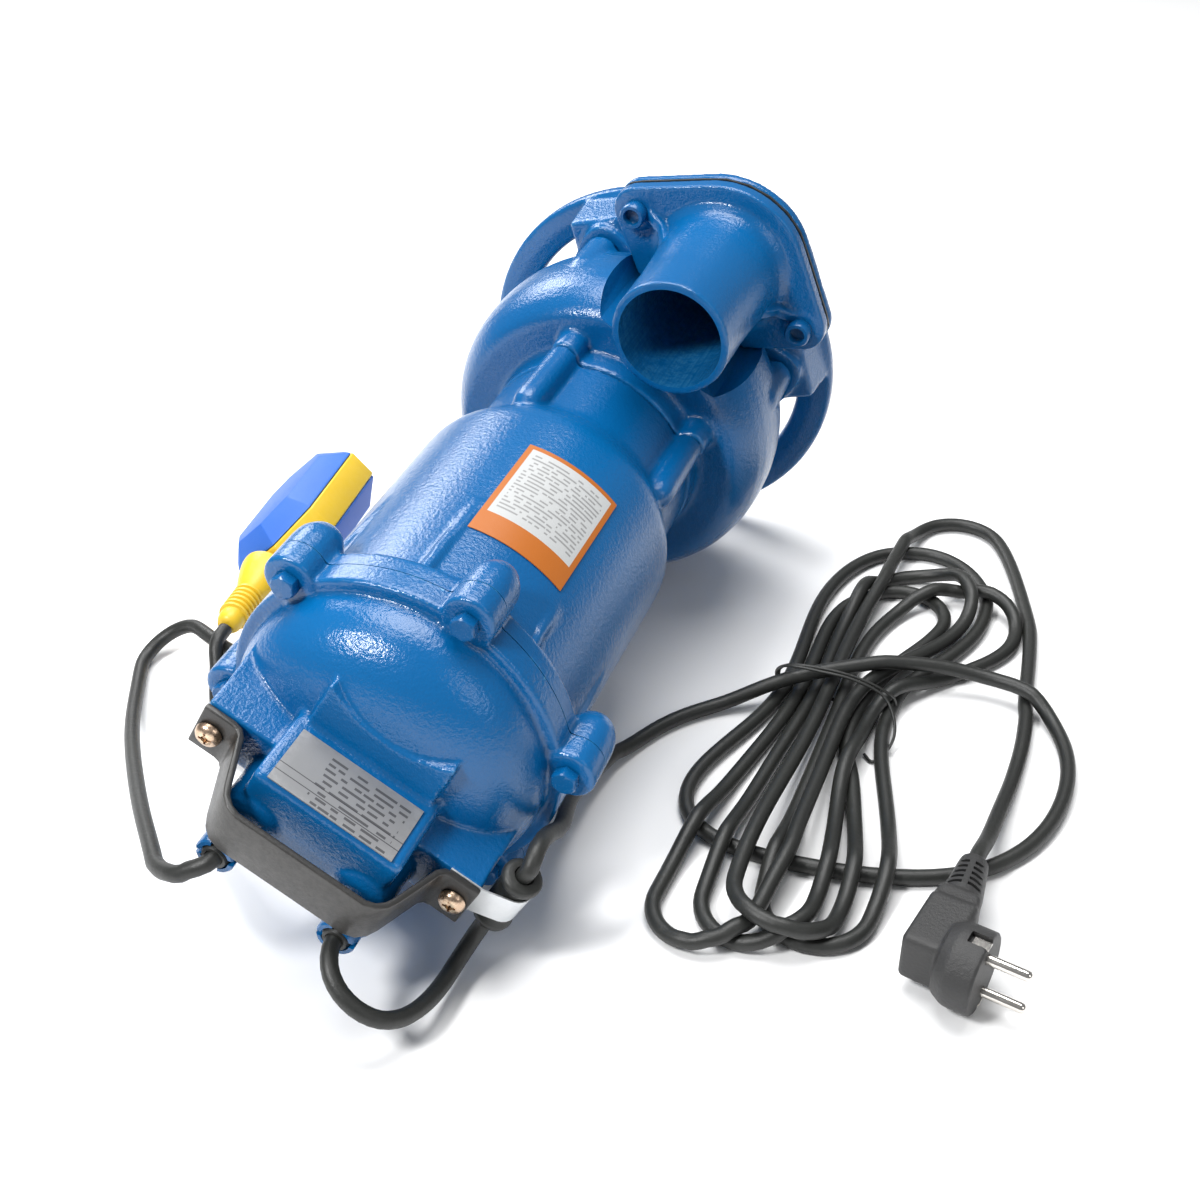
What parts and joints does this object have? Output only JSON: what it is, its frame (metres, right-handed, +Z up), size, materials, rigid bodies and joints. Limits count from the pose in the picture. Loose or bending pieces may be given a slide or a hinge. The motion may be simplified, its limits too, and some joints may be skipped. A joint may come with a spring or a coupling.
{
  "type": "submersible sump pump",
  "caption": "Submersible sump pump lying on its side, with an upright discharge pipe, a tethered float switch and a tied hank of mains cable",
  "frame": {"origin": "centre of the bounding box of everything but the mains and float cables, on the floor", "axes": "+Y runs along the pump from the handle to the base ring, +Z is up, +X is to the side where the mains cable lies"},
  "size_m": [0.4914, 0.5111, 0.2351],
  "materials": {
    "blue_enamel": "glossy enamel over rough casting",
    "black_steel": "semi-gloss black",
    "yellow_zinc": "yellow zinc plate",
    "galvanised": "galvanised",
    "steel": "machined",
    "cast_iron": "raw casting",
    "copper": "enamelled copper wire",
    "black_rubber": "satin black",
    "silver_label": "satin silver",
    "paper_label": "printed film",
    "float_blue": "moulded",
    "float_yellow": "moulded",
    "nickel": "nickel plate",
    "grey_plastic": "moulded"
  },
  "bodies": {
    "pump": {"base_bolt_1": "steel", "base_bolt_2": "steel", "base_bolt_3": "steel", "base_bolt_4": "steel", "base_stand": "blue_enamel", "bearing_bracket": "cast_iron", "cable_clip": "galvanised", "cap_bolt_1": "blue_enamel", "cap_bolt_2": "blue_enamel", "cap_bolt_3": "blue_enamel", "cap_bolt_4": "blue_enamel", "cap_bolt_5": "blue_enamel", "cap_bolt_6": "blue_enamel", "cap_o_ring": "black_rubber", "capacitor": "grey_plastic", "clip_sleeve": "black_rubber", "discharge_pipe": "blue_enamel", "flange_bolt_left": "blue_enamel", "flange_bolt_right": "blue_enamel", "flange_gasket": "black_rubber", "float_cable": "black_rubber", "gland_nut_float": "blue_enamel", "gland_nut_mains": "blue_enamel", "gland_seal_float": "black_rubber", "gland_seal_mains": "black_rubber", "handle": "black_steel", "handle_screw_left": "yellow_zinc", "handle_screw_right": "yellow_zinc", "lower_bearing": "steel", "mains_hank": "black_rubber", "mains_lead": "black_rubber", "mains_tail": "black_rubber", "motor_casing": "blue_enamel", "nameplate": "silver_label", "oil_chamber_cover": "cast_iron", "plug_body": "black_rubber", "plug_pin_lower": "nickel", "plug_pin_upper": "nickel", "seal_seat": "grey_plastic", "stator_core": "steel", "sticker": "paper_label", "suction_cover": "cast_iron", "top_cap": "blue_enamel", "upper_bearing": "steel", "volute_casing": "blue_enamel", "winding_lower": "copper", "winding_upper": "copper"},
    "rotor": {"shaft": "steel", "shaft_key": "steel", "rotor_core": "cast_iron", "impeller": "cast_iron", "impeller_nut": "steel", "seal_head": "cast_iron"},
    "float": {"float_shell_upper": "float_blue", "float_shell_lower": "float_blue", "float_band": "float_yellow", "float_boot": "float_yellow", "float_microswitch": "grey_plastic"},
    "float_ball": {"float_ball": "steel"}
  },
  "joints": [
    {"name": "rotor_spin", "type": "hinge", "parent": "pump", "child": "rotor", "pos_m": [0.0466, 0.21941, 0.10353], "axis": [0, -0.9983, -0.0586], "continuous": true},
    {"name": "float_lift", "type": "hinge", "parent": "pump", "child": "float", "pos_m": [-0.1084, -0.02459, 0.03069], "axis": [0.9925, 0.1219, 0], "range_deg": [0, 75]},
    {"name": "ball_roll", "type": "slide", "parent": "float", "child": "float_ball", "axis": [-0.1219, 0.9925, 0], "range_m": [0, 0.03]}
  ]
}
